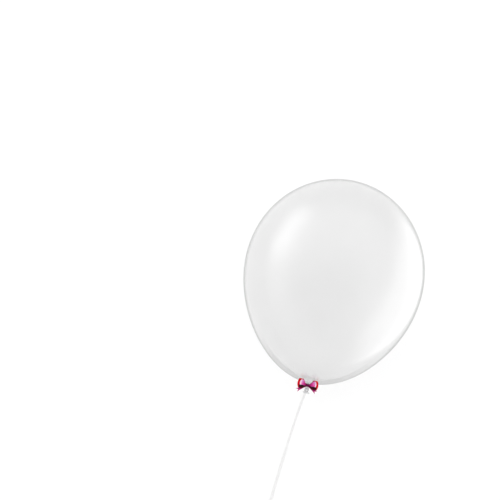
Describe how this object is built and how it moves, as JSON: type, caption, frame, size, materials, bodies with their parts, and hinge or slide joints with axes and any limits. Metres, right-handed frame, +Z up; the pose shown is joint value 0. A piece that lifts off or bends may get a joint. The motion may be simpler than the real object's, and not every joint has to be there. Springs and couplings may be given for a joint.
{
  "type": "giant clear latex balloon",
  "caption": "Giant clear latex balloon lying on its side, tied off at the neck, with a layered ribbon bow and a ribbon string.",
  "frame": {"origin": "on the floor, under the middle of the box that holds the balloon and its bow", "axes": "+Z up; +Y along the balloon from its neck to its crown; +X across it"},
  "size_m": [0.8996, 1.6843, 0.8938],
  "materials": {
    "clear_latex": "thin clear latex film, glossy, faintly grey, cloudier at the neck and knot",
    "red_satin": "red satin ribbon with a fine weave",
    "magenta_satin": "magenta satin ribbon, dark wine on its inside",
    "tie_satin": "narrow magenta satin ribbon with forked ends",
    "white_ribbon": "thin white satin ribbon"
  },
  "bodies": {
    "root": {"balloon": "clear_latex", "bow_red_ribbon": "red_satin", "bow_magenta_ribbon": "magenta_satin", "bow_tie_ribbon": "tie_satin", "ribbon_string": "white_ribbon"}
  },
  "joints": []
}
